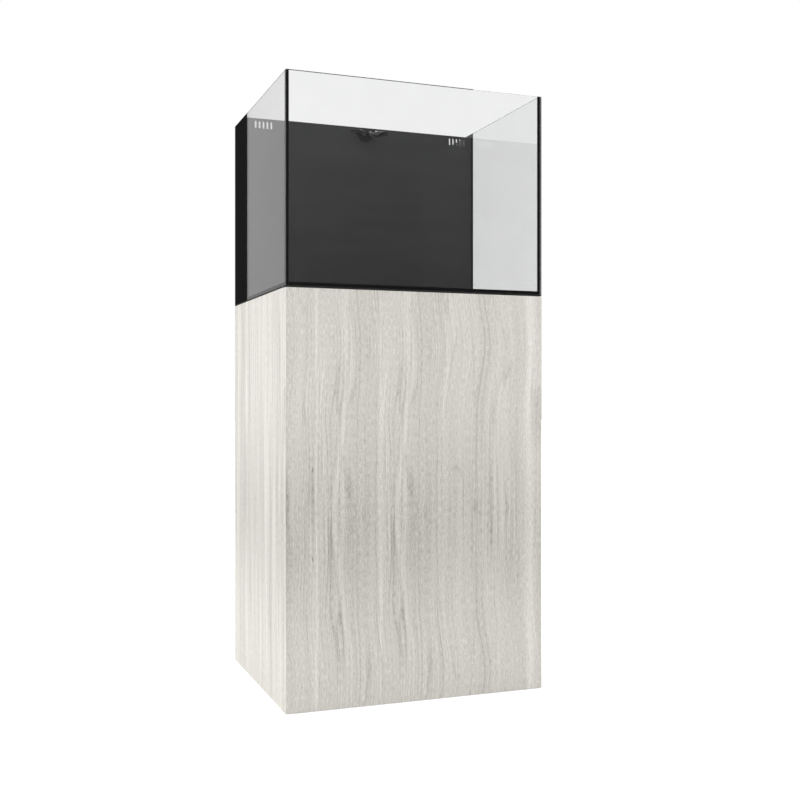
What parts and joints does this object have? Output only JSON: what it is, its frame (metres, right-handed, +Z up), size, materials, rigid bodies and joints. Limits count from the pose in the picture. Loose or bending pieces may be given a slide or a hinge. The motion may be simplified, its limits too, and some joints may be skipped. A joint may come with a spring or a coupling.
{
  "type": "aquarium on stand",
  "caption": "Rimless all-in-one glass aquarium with a black rear filter chamber, on a full-height wood cabinet with a single push-latched door.",
  "frame": {"origin": "centre of the base on the floor", "axes": "+Z up, -Y out through the door and the front glass, +X to the right as one faces the door"},
  "size_m": [0.6, 0.512, 1.35],
  "materials": {
    "wood_laminate": "pale ash-coloured laminate with vertical grain, satin",
    "clear_glass": "polished low-iron float glass",
    "black_acrylic": "polished cast acrylic",
    "black_silicone": "smooth black silicone",
    "foam_mat": "black closed-cell foam",
    "black_film": "black vinyl film",
    "black_plastic": "moulded, satin",
    "soft_rubber": "moulded rubber",
    "grey_plastic": "moulded, satin",
    "white_plastic": "moulded, satin",
    "felt": "needled polyester felt",
    "zinc": "die-cast zinc",
    "steel": "brushed stainless steel",
    "ceramic_shaft": "ground ceramic",
    "clear_rubber": "clear soft bumper"
  },
  "bodies": {
    "stand": {"back_panel": "wood_laminate", "base_seams": "black_silicone", "bottom_glass": "clear_glass", "bottom_panel": "wood_laminate", "bulkhead_elbow": "black_plastic", "bulkhead_gasket": "soft_rubber", "bulkhead_nut": "black_plastic", "cable_grommet_lower": "black_plastic", "cable_grommet_upper": "black_plastic", "cam_bolts": "zinc", "cam_locks": "zinc", "corner_seams": "black_silicone", "divider_left": "black_acrylic", "divider_right": "black_acrylic", "film_back": "black_film", "film_left": "black_film", "film_right": "black_film", "frame_leaf_screws": "steel", "front_glass": "clear_glass", "hose_clamps": "steel", "impeller_shaft": "ceramic_shaft", "latch_housing": "grey_plastic", "latch_screws": "steel", "left_glass": "clear_glass", "levelling_mat": "foam_mat", "overflow_wall": "black_acrylic", "pivot_leaf_lower": "steel", "pivot_leaf_upper": "steel", "pivot_washers": "grey_plastic", "pump_feet": "soft_rubber", "pump_gland": "black_plastic", "pump_motor": "black_plastic", "pump_strainer": "black_plastic", "pump_volute": "black_plastic", "rear_glass": "clear_glass", "return_hose": "soft_rubber", "right_glass": "clear_glass", "side_panel_left": "wood_laminate", "side_panel_right": "wood_laminate", "sock_holder_left": "black_acrylic", "sock_holder_right": "black_acrylic", "top_panel": "wood_laminate", "y_fitting": "black_plastic"},
    "door": {"door_panel": "wood_laminate", "door_leaf_upper": "steel", "door_leaf_lower": "steel", "pivot_pins": "steel", "door_leaf_screws": "steel", "door_bumpers": "clear_rubber", "latch_strike": "steel"},
    "latch_plunger": {"latch_plunger": "grey_plastic"},
    "impeller": {"pump_impeller": "white_plastic"},
    "knuckle_left": {"knuckle_left": "black_plastic"},
    "knuckle_right": {"knuckle_right": "black_plastic"},
    "nozzle_left": {"nozzle_left": "black_plastic"},
    "nozzle_right": {"nozzle_right": "black_plastic"},
    "sock_left": {"sock_ring_left": "white_plastic", "filter_sock_left": "felt"},
    "sock_right": {"sock_ring_right": "white_plastic", "filter_sock_right": "felt"}
  },
  "joints": [
    {"name": "door_hinge", "type": "hinge", "parent": "stand", "child": "door", "pos_m": [0.2945, -0.247, 0.4475], "axis": [0, 0, 1], "range_deg": [0, 110]},
    {"name": "latch_slide", "type": "slide", "parent": "stand", "child": "latch_plunger", "axis": [0, -1, 0], "range_m": [0, 0.012]},
    {"name": "impeller_spin", "type": "hinge", "parent": "stand", "child": "impeller", "pos_m": [0, 0.187, 0.95], "axis": [1, 0, 0], "continuous": true},
    {"name": "knuckle_left_pan", "type": "hinge", "parent": "stand", "child": "knuckle_left", "pos_m": [-0.01016, 0.09989, 1.32], "axis": [0, 0, 1], "range_deg": [-25, 25]},
    {"name": "nozzle_left_tilt", "type": "hinge", "parent": "knuckle_left", "child": "nozzle_left", "pos_m": [-0.0211, 0.09116, 1.32], "axis": [0.6239, -0.7815, 0], "range_deg": [-25, 25]},
    {"name": "sock_left_lift", "type": "slide", "parent": "stand", "child": "sock_left", "axis": [0, 0, 1], "range_m": [0, 0.27]},
    {"name": "knuckle_right_pan", "type": "hinge", "parent": "stand", "child": "knuckle_right", "pos_m": [0.01016, 0.09989, 1.32], "axis": [0, 0, 1], "range_deg": [-25, 25]},
    {"name": "nozzle_right_tilt", "type": "hinge", "parent": "knuckle_right", "child": "nozzle_right", "pos_m": [0.0211, 0.09116, 1.32], "axis": [0.6239, 0.7815, 0], "range_deg": [-25, 25]},
    {"name": "sock_right_lift", "type": "slide", "parent": "stand", "child": "sock_right", "axis": [0, 0, 1], "range_m": [0, 0.27]}
  ],
  "couplings": [
    {"joint": "latch_slide", "follows": "door_hinge", "m_per_rad": 0.00625}
  ]
}
